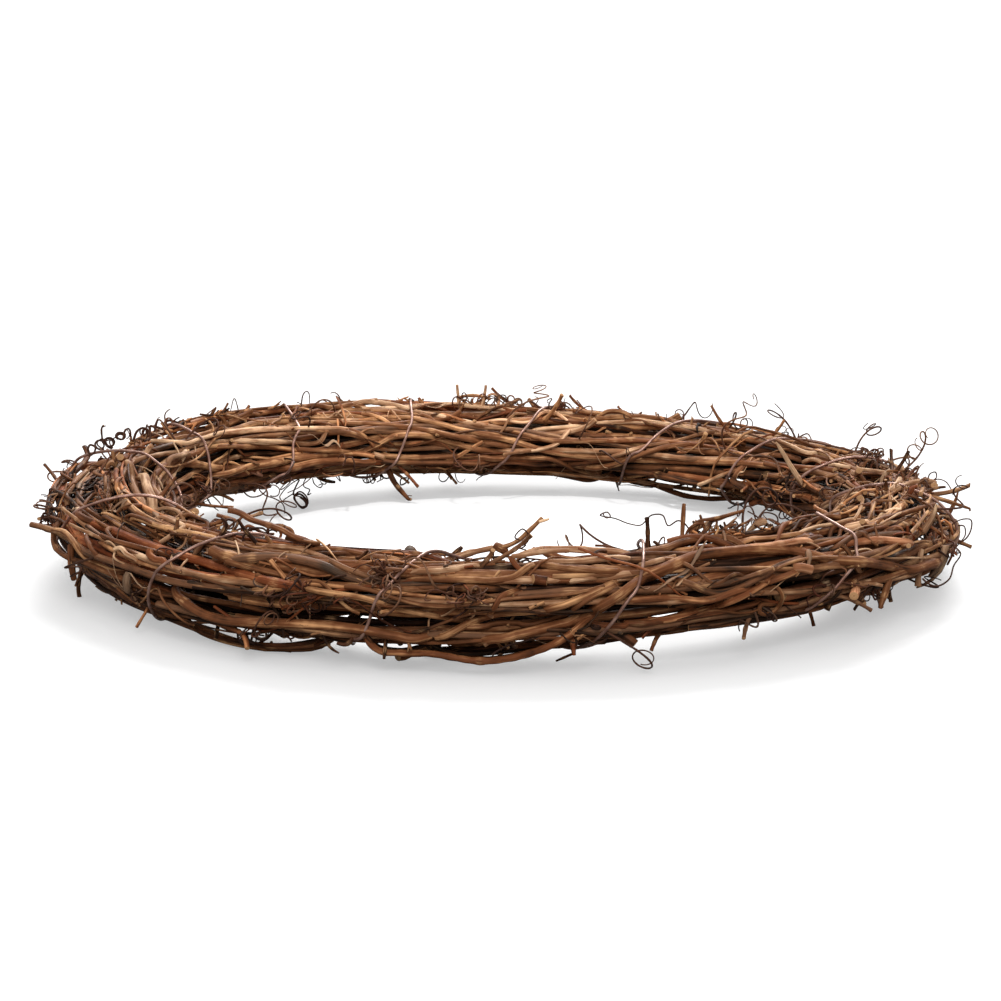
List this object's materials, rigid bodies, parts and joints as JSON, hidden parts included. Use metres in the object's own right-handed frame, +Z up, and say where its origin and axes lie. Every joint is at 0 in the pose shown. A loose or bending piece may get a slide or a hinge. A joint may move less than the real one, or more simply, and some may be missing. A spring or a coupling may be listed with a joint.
{
  "type": "grapevine wreath",
  "caption": "Round wreath of dry grapevine canes with side twigs and curled tendrils, bound by one long wire and lying flat.",
  "frame": {"origin": "middle of the wreath's footprint, on the surface that it lies on", "axes": "+Z up out of the wreath's flat side, +X along its longest width, to the right in the picture"},
  "size_m": [0.4104, 0.4018, 0.0602],
  "materials": {
    "bark": "dry brown vine bark, matt, with pale cut ends",
    "bark_pale": "dry vine bark weathered to a greyish tan, matt",
    "wire": "thin steel wire with a smooth reddish-brown coating"
  },
  "bodies": {
    "root": {"binding_wire": "wire", "cane_01": "bark", "cane_02": "bark", "cane_03": "bark", "cane_04": "bark_pale", "cane_05": "bark", "cane_06": "bark", "cane_07": "bark", "cane_08": "bark", "cane_09": "bark_pale", "cane_10": "bark", "cane_11": "bark", "cane_12": "bark", "cane_13": "bark", "cane_14": "bark_pale", "cane_15": "bark", "cane_16": "bark", "cane_17": "bark", "cane_18": "bark", "cane_19": "bark_pale", "cane_20": "bark", "cane_21": "bark", "cane_22": "bark", "cane_23": "bark", "cane_24": "bark_pale", "cane_25": "bark", "cane_26": "bark", "cane_27": "bark", "cane_28": "bark", "cane_29": "bark_pale", "cane_30": "bark", "cane_31": "bark", "cane_32": "bark", "cane_33": "bark", "cane_34": "bark_pale", "cane_35": "bark", "cane_36": "bark", "cane_37": "bark", "cane_38": "bark", "cane_39": "bark_pale", "cane_40": "bark", "cane_41": "bark", "cane_42": "bark", "cane_43": "bark", "cane_44": "bark_pale", "cane_45": "bark", "cane_46": "bark", "cane_47": "bark", "cane_48": "bark", "cane_49": "bark_pale", "cane_50": "bark", "cane_51": "bark", "cane_52": "bark", "cane_53": "bark", "cane_54": "bark_pale"}
  },
  "joints": []
}
